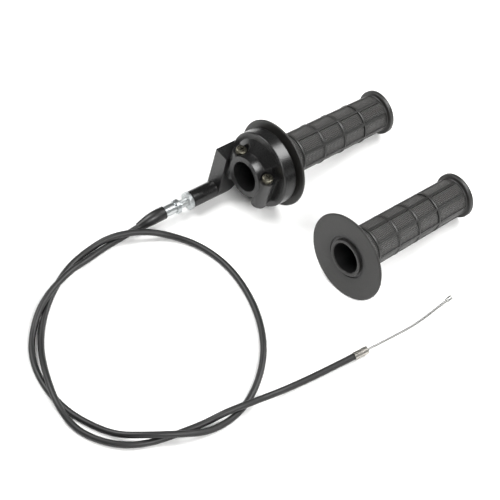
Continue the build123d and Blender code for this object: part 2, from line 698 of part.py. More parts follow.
# ================================================================ cable
# Route of the conduit's middle: out of the cap, down to the surface, one and a half turns, then out
# to the ferrule.  Where it crosses itself the upper strand is raised by two points.
ROUTE = [
    SNOUT.offset(CONDUIT_START).origin,
    SNOUT.offset(BEND_START).origin,
    (-112.5, 83.1, 4.4),
    (-126.5, 84.7, ON_FLOOR),
    (-141.5, 85.1, ON_FLOOR),
    (-157.5, 84.1, ON_FLOOR),
    (-175.5, 80.6, RAISED),
    (-203.5, 72.6, RAISED),
    (-222.5, 60.6, ON_FLOOR),
    (-239.0, 41.6, ON_FLOOR),
    (-248.0, 17.6, ON_FLOOR),
    (-250.0, -8.9, ON_FLOOR),
    (-245.0, -30.9, ON_FLOOR),
    (-237.5, -47.4, ON_FLOOR),
    (-228.0, -61.4, RAISED),
    (-209.5, -76.4, RAISED),
    (-192.5, -84.7, ON_FLOOR),
    (-174.5, -87.9, ON_FLOOR),
    (-155.5, -83.9, ON_FLOOR),
    (-136.0, -73.4, ON_FLOOR),
    (-117.5, -57.4, ON_FLOOR),
    (-102.5, -35.9, ON_FLOOR),
    (-92.0, -10.9, ON_FLOOR),
    (-86.3, 16.1, ON_FLOOR),
    (-88.5, 41.6, ON_FLOOR),
    (-97.0, 62.1, ON_FLOOR),
    (-112.0, 75.6, RAISED),
    (-132.5, 87.1, RAISED),
    (-149.5, 91.1, ON_FLOOR),
    (-169.5, 88.1, ON_FLOOR),
    (-190.0, 78.6, ON_FLOOR),
    (-210.0, 64.6, ON_FLOOR),
    (-228.5, 45.1, ON_FLOOR),
    (-242.5, 21.1, RAISED),
    (-253.0, -3.9, RAISED),
    (-255.0, -23.9, ON_FLOOR),
    (-250.0, -42.4, ON_FLOOR),
    (-239.0, -58.4, ON_FLOOR),
    (-223.0, -68.4, ON_FLOOR),
    (-204.5, -73.9, ON_FLOOR),
    (-187.5, -78.4, ON_FLOOR),
    (-173.5, -83.4, RAISED),
    (-149.0, -90.4, RAISED),
    (-127.5, -92.4, ON_FLOOR),
    (-99.5, -97.7, ON_FLOOR),
    (-69.1, -102.57, 3.0),
]


def corner_radii(points: list[Vector]) -> list[float]:
    """Arc radius for each inner point, as large as its two runs allow."""
    radii = []
    for before, here, after in zip(points, points[1:], points[2:]):
        run_in = here - before
        run_out = after - here
        half_turn = radians(run_in.get_angle(run_out)) / 2
        radii.append(ARC_SHARE * min(run_in.length, run_out.length) / tan(half_turn))
    return radii


ROUTE_POINTS = [Vector(*point) if isinstance(point, tuple) else point for point in ROUTE]
CORNER_RADII = corner_radii(ROUTE_POINTS)
print("conduit corner radii:", ", ".join(f"{radius:.0f}" for radius in CORNER_RADII))

with BuildPart() as conduit:
    with BuildLine() as route:
        FilletPolyline(*ROUTE_POINTS, radius=CORNER_RADII)
    with BuildSketch(Plane(origin=route.line @ 0, z_dir=route.line % 0)):
        Circle(CONDUIT_R)
    sweep(path=route.line)
    cable_end = Plane(origin=route.line @ 1, x_dir=(0, 0, 1), z_dir=route.line % 1)
    with BuildSketch(cable_end):
        Circle(LINER_R)
    extrude(amount=-LINER_LENGTH, mode=Mode.SUBTRACT)
conduit.part.label = "conduit"
export_step(conduit.part, "parts/conduit.step")
route_wire = route.wire()
print(f"conduit length {route_wire.length:.1f}, section x length {pi * CONDUIT_R**2 * route_wire.length:.0f}")
print(f"conduit volume {conduit.part.volume + pi * LINER_R**2 * LINER_LENGTH:.0f} with the liner's hole filled")

with BuildPart() as conduit_liner:
    with BuildSketch(cable_end):
        Circle(LINER_R)
        Circle(LINER_BORE_R, mode=Mode.SUBTRACT)
    extrude(amount=-LINER_LENGTH)
conduit_liner.part.label = "conduit_liner"
export_step(conduit_liner.part, "parts/conduit_liner.step")


def on_route(distance: float) -> Plane:
    """Plane square to the conduit at a distance along it."""
    return Plane(
        origin=route_wire.position_at(distance, position_mode=PositionMode.LENGTH),
        z_dir=route_wire.tangent_at(distance, position_mode=PositionMode.LENGTH),
    )


with BuildPart() as cable_boot:
    with BuildSketch(SNOUT.offset(BOOT_START)):
        Circle(BOOT_R)
    with BuildSketch(SNOUT.offset(HEAD_END + CAP_LENGTH)):
        Circle(BOOT_R)
    for distance, radius in BOOT_TAPER:
        with BuildSketch(on_route(distance)):
            Circle(radius)
    loft()
    with BuildSketch(SNOUT.offset(BOOT_START - CUT_PAST)):
        Circle(CAP_R + RUNNING_GAP)
    extrude(amount=HEAD_END + CAP_LENGTH + LOOSE_GAP - BOOT_START + CUT_PAST, mode=Mode.SUBTRACT)
    with BuildLine() as boot_line:
        FilletPolyline(*ROUTE_POINTS[:START_RUNS], radius=CORNER_RADII[: START_RUNS - 2])
    with BuildSketch(Plane(origin=boot_line.line @ 0, z_dir=boot_line.line % 0)):
        Circle(CONDUIT_R + RUNNING_GAP)
    sweep(path=boot_line.line, mode=Mode.SUBTRACT)
cable_boot.part.label = "cable_boot"
export_step(cable_boot.part, "parts/cable_boot.step")

END_SECTION = section_at(cable_end, 90)
END_AXIS = axis_of(cable_end)
FERRULE_END = FERRULE_LENGTH - FERRULE_SOCKET
with BuildPart() as end_ferrule:
    with BuildSketch(END_SECTION):
        with BuildLine():
            Polyline(
                (-FERRULE_SOCKET, CONDUIT_R + RUNNING_GAP),
                (-FERRULE_SOCKET, FERRULE_R),
                (FERRULE_END, FERRULE_R),
                (FERRULE_END, LINER_BORE_R),
                (0, LINER_BORE_R),
                (0, CONDUIT_R + RUNNING_GAP),
                close=True,
            )
        make_face()
        for station in CRIMP_STATIONS:
            with Locations((station - FERRULE_SOCKET, FERRULE_R)):
                Rectangle(CRIMP_WIDTH, 2 * CRIMP_DEPTH, mode=Mode.SUBTRACT)
    revolve(axis=END_AXIS)
end_ferrule.part.label = "end_ferrule"
export_step(end_ferrule.part, "parts/end_ferrule.step")

WIRE_START = cable_end.offset(-WIRE_INSIDE).origin
WIRE_BEND = cable_end.offset(FERRULE_END + WIRE_EXPOSED * WIRE_BEND_SHARE).origin
WIRE_TIP = WIRE_BEND + Vector(cos(WIRE_HEADING), sin(WIRE_HEADING), 0) * WIRE_EXPOSED * (1 - WIRE_BEND_SHARE)
with BuildPart() as end_wire:
    with BuildLine() as end_line:
        FilletPolyline(WIRE_START, WIRE_BEND, WIRE_TIP, radius=WIRE_BEND_R)
    with BuildSketch(Plane(origin=end_line.line @ 0, z_dir=end_line.line % 0)):
        Circle(WIRE_R)
    sweep(path=end_line.line)
end_wire.part.label = "end_wire"
export_step(end_wire.part, "parts/end_wire.step")

TIP = Plane(origin=end_line.line @ 1, x_dir=(0, 0, 1), z_dir=end_line.line % 1)
with BuildPart() as end_nipple:
    with BuildSketch(section_at(TIP, 90)):
        with BuildLine():
            Polyline(
                (0, 0),
                (0, NIPPLE_NECK_R),
                (NIPPLE_NECK, END_NIPPLE_R),
                (NIPPLE_LENGTH, END_NIPPLE_R),
                (NIPPLE_LENGTH, 0),
                close=True,
            )
        make_face()
    revolve(axis=axis_of(TIP))
end_nipple.part.label = "end_nipple"
export_step(end_nipple.part, "parts/end_nipple.step")
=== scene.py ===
"""Looks of a motorcycle throttle with its cable and the matching left-hand grip, on a pale floor.

Sizes are in millimetres inside the classes and become metres when a mesh is placed.
"""

import logging
import math
from dataclasses import dataclass
from enum import Enum

import bmesh
import bpy
from mathutils import Matrix, Vector


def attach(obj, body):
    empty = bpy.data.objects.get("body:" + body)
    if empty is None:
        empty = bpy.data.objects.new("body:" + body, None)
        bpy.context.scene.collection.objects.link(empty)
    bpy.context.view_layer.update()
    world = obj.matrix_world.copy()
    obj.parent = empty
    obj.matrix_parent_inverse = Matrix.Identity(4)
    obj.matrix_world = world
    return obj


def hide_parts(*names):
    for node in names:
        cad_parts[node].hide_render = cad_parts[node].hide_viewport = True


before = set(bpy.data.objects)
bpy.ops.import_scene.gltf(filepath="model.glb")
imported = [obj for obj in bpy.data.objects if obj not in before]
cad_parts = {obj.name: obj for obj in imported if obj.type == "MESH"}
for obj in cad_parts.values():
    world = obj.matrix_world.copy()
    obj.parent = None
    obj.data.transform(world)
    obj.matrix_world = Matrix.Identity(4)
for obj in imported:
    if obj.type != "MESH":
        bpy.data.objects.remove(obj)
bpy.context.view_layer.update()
LOG = logging.getLogger("throttle")
MM = 0.001
SHARP_FROM_DEG = 35.0  # edges sharper than this stay sharp
KNURL_MM = 1.9  # the real knurl is finer, too fine to show


class Surface(Enum):
    """How a surface was made, which decides its pattern."""

    KNURLED = "knurled rubber"
    STRANDED = "stranded wire"
    SMOOTH = "smooth"


def linear(code: str) -> tuple[float, float, float, float]:
    """Turns an sRGB hex colour to linear.

    Args:
        code: six hex digits with a leading #.

    Returns:
        Red, green, blue and alpha as linear values.
    """
    parts = [int(code[i : i + 2], 16) / 255 for i in (1, 3, 5)]
    turned = [c / 12.92 if c <= 0.04045 else ((c + 0.055) / 1.055) ** 2.4 for c in parts]
    return (turned[0], turned[1], turned[2], 1.0)


def add_node(
    tree: bpy.types.NodeTree, kind: str, links: dict | None = None, **values: object
) -> bpy.types.Node:
    """Adds a node with its settings and links.

    Args:
        tree: the material's node tree.
        kind: the node's type name.
        links: input name or number to the output socket that feeds it.
        values: node properties, or inputs when the node has no such property.

    Returns:
        The new node.
    """
    node = tree.nodes.new(kind)
    for key, value in values.items():
        if hasattr(node, key):
            setattr(node, key, value)
        else:
            name = key.replace("_", " ")
            for socket in node.inputs:
                if socket.name.lower() == name.lower():
                    socket.default_value = value
                    break
    for key, source in (links or {}).items():
        tree.links.new(source, node.inputs[key])
    return node


@dataclass(frozen=True)
class Finish:
    """A finish of one of the object's surfaces."""

    name: str
    colour: str
    worn: str
    roughness: float
    metallic: float = 0.0
    ior: float = 1.5
    surface: Surface = Surface.SMOOTH
    grain_mm: float = 0.6
    depth_mm: float = 0.02
    edge_mm: float = 0.3

    def material(self) -> bpy.types.Material:
        """Makes the node material of this finish.

        Returns:
            The material, made once and found again by name.
        """
        found = bpy.data.materials.get(self.name)
        if found:
            return found
        made = bpy.data.materials.new(self.name)
        made.use_nodes = True
        tree = made.node_tree
        shader = tree.nodes["Principled BSDF"]
        shader.inputs["Metallic"].default_value = self.metallic
        shader.inputs["IOR"].default_value = self.ior
        place = add_node(tree, "ShaderNodeTexCoord").outputs["Object"]
        # Slow blotches of colour and gloss, from handling and moulding
        blotch = add_node(tree, "ShaderNodeTexNoise", {"Vector": place}, Scale=90.0, Detail=3.0)
        per_metre = 1 / (self.grain_mm * MM)
        fine = add_node(tree, "ShaderNodeTexNoise", {"Vector": place}, Scale=per_metre, Detail=4.0)
        mixed = add_node(tree, "ShaderNodeMix", {"Factor": blotch.outputs["Fac"]}, data_type="RGBA")
        mixed.inputs[6].default_value = linear(self.colour)
        mixed.inputs[7].default_value = linear(self.worn)
        tree.links.new(self.shaded(tree, mixed.outputs[2]), shader.inputs["Base Color"])
        rough = add_node(tree, "ShaderNodeMapRange", {"Value": fine.outputs["Fac"]})
        rough.inputs["To Min"].default_value = self.roughness - 0.05
        rough.inputs["To Max"].default_value = self.roughness + 0.07
        tree.links.new(rough.outputs["Result"], shader.inputs["Roughness"])
        height = self.pattern(tree, place, fine.outputs["Fac"])
        edge = add_node(tree, "ShaderNodeBevel", samples=4, Radius=self.edge_mm * MM)
        bump = add_node(
            tree, "ShaderNodeBump", {"Height": height, "Normal": edge.outputs["Normal"]}, Strength=0.6
        )
        bump.inputs["Distance"].default_value = self.depth_mm * MM
        tree.links.new(bump.outputs["Normal"], shader.inputs["Normal"])
        return made

    def shaded(self, tree: bpy.types.NodeTree, colour: bpy.types.NodeSocket) -> bpy.types.NodeSocket:
        """Paints shade at the foot of each rib and in each narrow groove, and paints a highlight on the
        knurl's tips.

        Args:
            tree: the material's node tree.
            colour: the colour before.

        Returns:
            The colour socket to use.
        """
        if self.surface is not Surface.KNURLED:
            return colour
        # Painted highlight: the tips of the knurl are painted a little paler than the rest, standing in for
        # light catching the raised points
        tips = add_node(tree, "ShaderNodeMapRange", {"Value": self.knurl(tree)})
        tips.inputs["From Min"].default_value = 0.0
        tips.inputs["From Max"].default_value = 1.0
        tip_highlight_inputs = {"Factor": tips.outputs["Result"], 6: colour}
        tip_highlighted = add_node(tree, "ShaderNodeMix", tip_highlight_inputs, data_type="RGBA")
        tip_highlighted.inputs[7].default_value = linear("#5c5b58")
        # Painted shade: this mask darkens the feet of the ribs and rings and the collar's recess to near
        # black, where shade falls
        groove_shade = add_node(tree, "ShaderNodeAttribute", attribute_name="groove_shade").outputs["Fac"]
        painted_groove_shade = add_node(tree, "ShaderNodeMix", {"Factor": groove_shade, 6: tip_highlighted.outputs[2]}, data_type="RGBA")
        painted_groove_shade.inputs[7].default_value = linear("#050505")
        return painted_groove_shade.outputs[2]

    def knurl(self, tree: bpy.types.NodeTree) -> bpy.types.NodeSocket:
        """Makes the crossed knurl of a grip's panels.

        Args:
            tree: the material's node tree.

        Returns:
            The socket that gives the knurl's height, nought away from the panels.
        """
        # Crossed knurl that follows the piece's own map, drawn coarse enough to show
        spread = add_node(tree, "ShaderNodeUVMap", uv_map="wrap").outputs["UV"]
        split = add_node(tree, "ShaderNodeSeparateXYZ", {"Vector": spread})
        pitch = 2 * math.pi / KNURL_MM
        waves = []
        for sign in (1, -1):
            across = {0: split.outputs["Y"], 2: split.outputs["X"]}
            lean = add_node(tree, "ShaderNodeMath", across, operation="MULTIPLY_ADD")
            lean.inputs[1].default_value = sign
            scaled = add_node(tree, "ShaderNodeMath", {0: lean.outputs[0]}, operation="MULTIPLY")
            scaled.inputs[1].default_value = pitch * 0.7
            wave = add_node(tree, "ShaderNodeMath", {0: scaled.outputs[0]}, operation="SINE")
            waves.append(wave.outputs[0])
        crossed = add_node(tree, "ShaderNodeMath", {0: waves[0], 1: waves[1]}, operation="MULTIPLY")
        mask = add_node(tree, "ShaderNodeAttribute", attribute_name="knurl").outputs["Fac"]
        held = add_node(tree, "ShaderNodeMath", {0: crossed.outputs[0], 1: mask}, operation="MULTIPLY")
        return held.outputs[0]

    def pattern(
        self, tree: bpy.types.NodeTree, place: bpy.types.NodeSocket, fine: bpy.types.NodeSocket
    ) -> bpy.types.NodeSocket:
        """Makes the height that the surface's making leaves.

        Args:
            tree: the material's node tree.
            place: Object coordinates.
            fine: the fine grain that every surface has.

        Returns:
            The socket that gives the height.
        """
        if self.surface is Surface.KNURLED:
            total = add_node(tree, "ShaderNodeMath", {0: fine, 2: self.knurl(tree)}, operation="MULTIPLY_ADD")
            total.inputs[1].default_value = 0.12
            return total.outputs[0]
        if self.surface is Surface.STRANDED:
            # Strands laid at an angle, one turn in about 3 mm
            turned = add_node(tree, "ShaderNodeMapping", {"Vector": place})
            turned.inputs["Rotation"].default_value = (0.0, 0.6, 0.9)
            wave = add_node(tree, "ShaderNodeTexWave", {"Vector": turned.outputs[0]}, Scale=330.0)
            return wave.outputs["Fac"]
        return fine


# Moulded rubber: warm dark grey, matt, with a crossed knurl on its panels
RUBBER = Finish(
    "moulded_rubber_grip",
    "#181716",
    "#201f1d",
    0.46,
    ior=1.55,
    surface=Surface.KNURLED,
    depth_mm=0.8,
    edge_mm=0.15,
)
# Glass-filled nylon from a polished mould: near black with a soft shine
HOUSING = Finish("satin_nylon_housing", "#111111", "#191919", 0.27, ior=1.53, grain_mm=0.35, edge_mm=0.45)
SLEEVE = Finish("black_nylon_sleeve", "#060606", "#0a0a0a", 0.45, ior=1.53)
BOOT = Finish("smooth_rubber_boot", "#0e0e0e", "#171717", 0.38, ior=1.52, edge_mm=0.4)
# Extruded vinyl: black with a soft line of light along it
JACKET = Finish("vinyl_cable_jacket", "#151515", "#1b1b1b", 0.45, ior=1.5, grain_mm=0.8)
# Bright zinc plate: nearly white, a little blue in its hollows
ZINC = Finish("bright_zinc_plate", "#d2d4d3", "#b4babd", 0.32, metallic=1.0, depth_mm=0.01, edge_mm=0.15)
NICKEL = Finish("dull_nickel_ferrule", "#c2bfb8", "#94918b", 0.3, metallic=1.0, depth_mm=0.02, edge_mm=0.15)
SCREW = Finish("aged_zinc_screw", "#7c796c", "#3d3b33", 0.38, metallic=1.0, edge_mm=0.2)
STEEL = Finish("drawn_steel", "#a9a9a7", "#8f8f8d", 0.35, metallic=1.0)
BRASS = Finish("turned_brass", "#c8a860", "#a98b4c", 0.3, metallic=1.0)
STRAND = Finish(
    "stranded_steel_wire", "#9c9c9a", "#6c6c6a", 0.32, metallic=1.0, surface=Surface.STRANDED, depth_mm=0.25
)
LINER = Finish("white_liner", "#dedcd4", "#cfccc2", 0.4)

CAD_FINISHES: dict[str, Finish] = {
    "housing_lower": HOUSING,
    "housing_cover": HOUSING,
    "cable_arm": HOUSING,
    "throttle_tube": SLEEVE,
    "cable_pulley": SLEEVE,
    "clamp_screws": SCREW,
    "clamp_nuts": ZINC,
    "elbow_guide": STEEL,
    "snout_insert": BRASS,
    "drum_nipple": BRASS,
    "wire_head": STRAND,
    "inner_wire": STRAND,
    "end_wire": STRAND,
    "end_nipple": STEEL,
    "end_ferrule": NICKEL,
    "conduit_liner": LINER,
    "conduit_cap": ZINC,
    "cable_boot": BOOT,
}


@dataclass(frozen=True)
class Placement:
    """Where a turned piece stands: its axis runs along Z, with local X across it."""

    origin: tuple[float, float, float]
    x_axis: tuple[float, float, float]
    z_axis: tuple[float, float, float]

    def matrix(self) -> Matrix:
        """Works out where the piece's own axes lie.

        Returns:
            The matrix from local millimetres to the row frame in metres.
        """
        z_axis = Vector(self.z_axis).normalized()
        x_axis = Vector(self.x_axis)
        x_axis = (x_axis - x_axis.dot(z_axis) * z_axis).normalized()
        y_axis = z_axis.cross(x_axis)
        turn = Matrix((x_axis, y_axis, z_axis)).transposed().to_4x4()
        return Matrix.Translation(Vector(self.origin) * MM) @ turn @ Matrix.Scale(MM, 4)


def turned(name: str, outline: list[tuple[float, float]], steps: int) -> bmesh.types.BMesh:
    """Spins an outline of radius and station into a bmesh.

    Args:
        name: the piece's name, for the log.
        outline: radius and station along Z, in millimetres, the last point joined to the first.
        steps: how many steps a full turn takes.

    Returns:
        The bmesh, merged, with its faces pointing outwards.
    """
    work = bmesh.new()
    points = [work.verts.new((radius, 0.0, station)) for radius, station in outline]
    edges = [work.edges.new(pair) for pair in zip(points, points[1:] + points[:1])]
    bmesh.ops.spin(
        work,
        geom=points + edges,
        cent=(0, 0, 0),
        axis=(0, 0, 1),
        angle=2 * math.pi,
        steps=steps,
        use_merge=True,
    )
    bmesh.ops.remove_doubles(work, verts=work.verts[:], dist=1e-4)
    bmesh.ops.recalc_face_normals(work, faces=work.faces[:])
    LOG.info("%s turned with %d faces", name, len(work.faces))
    return work


def finish_piece(name: str, work: bmesh.types.BMesh, place: Matrix, finish: Finish) -> bpy.types.Object:
    """Puts a bmesh in its place as an object.

    Args:
        name: the object's name.
        work: the bmesh, in local millimetres.
        place: the matrix to the row frame.
        finish: the finish that it gets.

    Returns:
        The new object, at the origin.
    """
    bmesh.ops.transform(work, matrix=place, verts=work.verts[:])
    limit = math.radians(SHARP_FROM_DEG)
    for face in work.faces:
        face.smooth = True
    for edge in work.edges:
        if len(edge.link_faces) == 2 and edge.calc_face_angle(0.0) > limit:
            edge.smooth = False
    mesh = bpy.data.meshes.new(name)
    work.to_mesh(mesh)
    work.free()
    mesh.materials.append(finish.material())
    piece = bpy.data.objects.new(name, mesh)
    bpy.context.scene.collection.objects.link(piece)
    return piece


@dataclass
class HandGrip:
    """A rubber grip with raised ribs and rings round knurled panels."""

    name: str
    place: Placement
    length: float
    bore_r: float
    nodes: tuple[str, ...]
    body: str
    collar_rise: float = 0.0
    collar_r: float = 13.6
    recess_r: float = 15.6
    recess_depth: float = 0.8
    flange_r: float = 32.3
    flange_t: float = 2.8
    end_r: float = 16.4
    end_t: float = 3.7
    end_wall: float = 3.0
    barrel_r: float = 14.6
    barrel_end_r: float = 13.4
    rib_height: float = 0.7
    rib_width: float = 1.2
    rib_count: int = 8
    knurl_end: float = 17.0
    ring_pitch: float = 20.0
    ring_count: int = 4
    steps: int = 256
    slope: float = 0.3

    def barrel(self, station: float) -> float:
        """Radius of the sunk panels at a distance outboard of the flange's face."""
        return self.barrel_r + (self.barrel_end_r - self.barrel_r) * station / self.length

    def rings(self) -> list[float]:
        """Stations where the raised rings start."""
        return [self.knurl_end + k * self.ring_pitch for k in range(self.ring_count)]

    def outline(self) -> list[tuple[float, float]]:
        """The whole section, from the bore's mouth round the outside to the closed end.

        Returns:
            Radius and station along Z, where Z runs inboard.
        """
        rim = 0.8
        points: list[tuple[float, float]] = []
        if self.collar_rise:
            points += [
                (self.bore_r, self.collar_rise - 0.6),
                (self.bore_r + 0.6, self.collar_rise),
                (self.collar_r - 0.4, self.collar_rise),
                (self.collar_r, self.collar_rise - 0.4),
                (self.collar_r, -self.recess_depth),
                (self.recess_r - 0.4, -self.recess_depth),
                (self.recess_r, -0.3),
            ]
        else:
            points += [(self.bore_r, 0.0)]
        points += [(self.flange_r * 0.6, -0.05), (self.flange_r * 0.85, -0.02), (self.flange_r - 1.6, 0.0)]
        for k in range(7):
            turn = math.pi * k / 6
            points.append((self.flange_r - rim + rim * math.sin(turn), -rim + rim * math.cos(turn)))
        back = -self.flange_t
        points += [(self.flange_r - 4.0, back), (self.barrel(3) + 2.2, back)]
        points += [(self.barrel(3) + 0.6, back - 0.5), (self.barrel(4) + 0.05, back - 1.6)]
        stations = {5.0 + 2.0 * k for k in range(int((self.length - 10) / 2))}
        for start in self.rings():
            stations -= {s for s in stations if start - 1.0 < s < start + self.rib_width + 1.0}
            end = start + self.rib_width
            stations |= {start - self.slope, start, end, end + self.slope}
        for station in sorted(s for s in stations if s < self.length - self.end_t - 1.2):
            points.append((self.barrel(station), -station))
        end = self.length - self.end_t
        points += [(self.barrel(end), -(end - 0.8)), (self.barrel(end) + 0.5, -(end - 0.2))]
        points += [(self.end_r - rim, -end)]
        for k in range(5):
            turn = math.pi / 2 * k / 4
            points.append((self.end_r - rim + rim * math.sin(turn), -end - rim + rim * math.cos(turn)))
        for k in range(5):
            turn = math.pi / 2 * k / 4
            radius = self.end_r - rim + rim * math.cos(turn)
            points.append((radius, -self.length + rim - rim * math.sin(turn)))
        points += [(self.end_r - 2.5, -self.length), (0.0, -self.length)]
        wall = self.length - self.end_wall
        return points + [(0.0, -wall), (self.bore_r, -wall)]

    def is_ring(self, station: float) -> bool:
        """Whether a station lies on a raised ring."""
        return any(start - 0.01 <= station <= start + self.rib_width + 0.01 for start in self.rings())

    def beside_ring(self, station: float) -> bool:
        """Whether a station lies at the foot of a raised ring."""
        reach = self.slope + 0.01
        return any(start - reach <= station <= start + self.rib_width + reach for start in self.rings())

    def raise_ribs(self, work: bmesh.types.BMesh) -> None:
        """Lifts the ribs and rings out of the barrel, marks the knurled panels, and marks where shade is
        painted at the feet of the ribs and rings and in the collar's recess.

        Args:
            work: the turned grip, in local millimetres.
        """
        mask = work.verts.layers.float.new("knurl")
        # Painted shade mask: it marks the feet of the ribs and rings and the collar's recess, which are
        # darkened where shade falls
        groove_shade = work.verts.layers.float.new("groove_shade")
        for vert in work.verts:
            station = -vert.co.z
            radius = math.hypot(vert.co.x, vert.co.y)
            panel = self.barrel(station)
            # Painted shade in the collar's recess, near its mouth
            if self.collar_rise and self.collar_r - 0.05 < radius < self.recess_r + 0.05 and station > 0.1:
                vert[groove_shade] = 0.8 if station < 1.0 else 0.0
            if abs(radius - panel) > 0.02 or not 3.5 < station < self.length - self.end_t - 0.9:
                continue
            lift = 0.0
            if station >= self.knurl_end - 0.01:
                angle = math.atan2(vert.co.y, vert.co.x) * self.rib_count / (2 * math.pi)
                away = abs(angle - round(angle)) * 2 * math.pi / self.rib_count * radius
                lift = min(max((self.rib_width / 2 + self.slope + 0.1 - away) / self.slope, 0.0), 1.0)
                # Painted shade along the foot of each rib
                if self.rib_width / 2 + 0.25 < away < self.rib_width / 2 + 0.75:
                    vert[groove_shade] = 0.75
            if self.is_ring(station):
                lift = 1.0
                vert[groove_shade] = 0.0
            elif self.beside_ring(station):
                # Painted shade at the foot of each ring
                vert[groove_shade] = 0.75
            vert[mask] = 1.0 - lift
            scale = (panel + self.rib_height * lift) / radius
            vert.co.x *= scale
            vert.co.y *= scale

    def map_surface(self, work: bmesh.types.BMesh) -> None:
        """Maps the surface in millimetres, round it and along it.

        Args:
            work: the grip, in local millimetres.
        """
        spread = work.loops.layers.uv.new("wrap")
        for face in work.faces:
            middle = face.calc_center_median()
            heading = math.atan2(middle.y, middle.x)
            for loop in face.loops:
                turn = math.atan2(loop.vert.co.y, loop.vert.co.x) - heading
                turn = (turn + math.pi) % (2 * math.pi) - math.pi
                loop[spread].uv = ((heading + turn) * self.barrel_r, loop.vert.co.z)

    def build(self) -> bpy.types.Object:
        """Builds the grip in place of its CAD nodes.

        Returns:
            The grip's object.
        """
        work = turned(self.name, self.outline(), self.steps)
        self.raise_ribs(work)
        self.map_surface(work)
        for face in work.faces:
            if max(math.hypot(vert.co.x, vert.co.y) for vert in face.verts) < self.bore_r + 0.1:
                face.material_index = 1
        piece = finish_piece(self.name, work, self.place.matrix(), RUBBER)
        piece.data.materials.append(SLEEVE.material())
        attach(piece, self.body)
        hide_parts(*self.nodes)
        LOG.info("%s built", self.name)
        return piece


@dataclass
class AdjusterSet:
    """The threaded adjuster and its knurled lock nut on the snout."""

    place: Placement
    thread_start: float = 9.0
    nut_start: float = 19.1
    nut_t: float = 3.4
    nut_r: float = 6.5
    notches: int = 24
    head_start: float = 29.0
    head_r: float = 5.25
    head_length: float = 3.7
    thread_r: float = 3.0
    pitch: float = 1.0
    bore_r: float = 1.2
    seat_r: float = 2.9
    seat_depth: float = 2.6

    def build_adjuster(self) -> bpy.types.Object:
        """Turns the adjuster with its thread ridges and grooved head.

        Returns:
            The adjuster's object.
        """
        thread: list[tuple[float, float]] = [(self.bore_r, self.thread_start)]
        station = self.thread_start
        while station < self.head_start - self.pitch:
            thread += [(self.thread_r - 0.32, station), (self.thread_r, station + self.pitch * 0.45)]
            thread += [(self.thread_r, station + self.pitch * 0.55)]
            station += self.pitch
        top = self.head_start + self.head_length
        head = [
            (self.thread_r - 0.32, self.head_start - 0.2),
            (self.thread_r, self.head_start),
            (self.head_r - 0.5, self.head_start),
            (self.head_r, self.head_start + 0.5),
            (self.head_r, top - 0.5),
            (self.head_r - 0.5, top),
            (self.seat_r, top),
            (self.seat_r, top - self.seat_depth),
            (self.bore_r, top - self.seat_depth),
        ]
        work = turned("cable_adjuster", thread + head, 96)
        piece = finish_piece("adjuster_threaded", work, self.place.matrix(), ZINC)
        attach(piece, "adjuster")
        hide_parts("cable_adjuster")
        return piece

    def build_nut(self) -> bpy.types.Object:
        """Turns the lock nut and presses the notches into its rim.

        Returns:
            The lock nut's object.
        """
        end = self.nut_start + self.nut_t
        bore = self.thread_r + 0.05
        outline = [
            (bore, self.nut_start),
            (self.nut_r - 0.5, self.nut_start),
            (self.nut_r, self.nut_start + 0.5),
            (self.nut_r, end - 0.5),
            (self.nut_r - 0.5, end),
            (self.nut_r - 1.6, end),
            (self.nut_r - 1.9, end - 0.25),
            (bore + 0.5, end - 0.25),
            (bore, end - 0.5),
        ]
        work = turned("lock_nut", outline, self.notches * 8)
        for vert in work.verts:
            radius = math.hypot(vert.co.x, vert.co.y)
            if radius > self.nut_r - 0.1:
                wave = math.cos(math.atan2(vert.co.y, vert.co.x) * self.notches)
                scale = (radius - 0.4 * max(wave, 0.0)) / radius
                vert.co.x *= scale
                vert.co.y *= scale
        piece = finish_piece("lock_nut_knurled", work, self.place.matrix(), ZINC)
        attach(piece, "lock_nut")
        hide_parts("lock_nut")
        return piece


@dataclass
class ThrottleCable:
    """The cable on the surface, out of the cap and round to the ferrule."""

    route: tuple[tuple[float, float, float], ...]
    radius: float = 2.3 * MM
    length: float = 0.98

    def build(self) -> bpy.types.Object:
        """Lays the cable along its route.

        Returns:
            The cable's curve object.
        """
        data = bpy.data.curves.new("cable_jacket", "CURVE")
        data.dimensions = "3D"
        data.bevel_depth = self.radius
        data.bevel_resolution = 6
        data.resolution_u = 10
        data.use_fill_caps = True
        spline = data.splines.new("NURBS")
        spline.points.add(len(self.route) - 1)
        for point, place in zip(spline.points, self.route):
            point.co = (*place, 1.0)
        spline.order_u = 3
        spline.use_endpoint_u = True
        data.materials.append(JACKET.material())
        piece = bpy.data.objects.new("cable_jacket", data)
        bpy.context.scene.collection.objects.link(piece)
        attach(piece, "housing")
        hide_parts("conduit")
        LOG.info("cable laid")
        return piece


